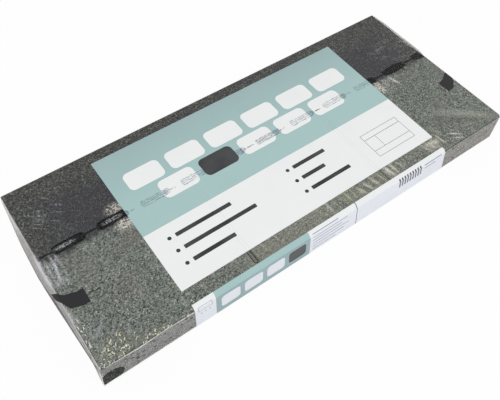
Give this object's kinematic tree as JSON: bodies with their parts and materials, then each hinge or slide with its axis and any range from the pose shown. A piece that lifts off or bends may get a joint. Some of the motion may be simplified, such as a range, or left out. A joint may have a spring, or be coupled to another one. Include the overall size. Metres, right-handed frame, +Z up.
{
  "type": "asphalt shingle bundle",
  "caption": "Flat bundle of three-tab bitumen roof shingles, turned end for end, in a clear printed shrink film with closed pillow ends.",
  "frame": {"origin": "middle of the bundle's underside", "axes": "+X along the shingles' length, -Y towards the printed front edge where the top shingle's tabs end, +Z up through the stack"},
  "size_m": [1.03, 0.4272, 0.0742],
  "materials": {
    "shingle_felt": "mineral granules on bitumen, rough",
    "sealing_bitumen": "soft bitumen, glossy",
    "clear_film": "clear polyethylene shrink film with mint and white print"
  },
  "bodies": {
    "root": {"top_shingle": "shingle_felt", "shingle_stack": "shingle_felt", "sealing_strip": "sealing_bitumen", "shrink_film": "clear_film"}
  },
  "joints": []
}
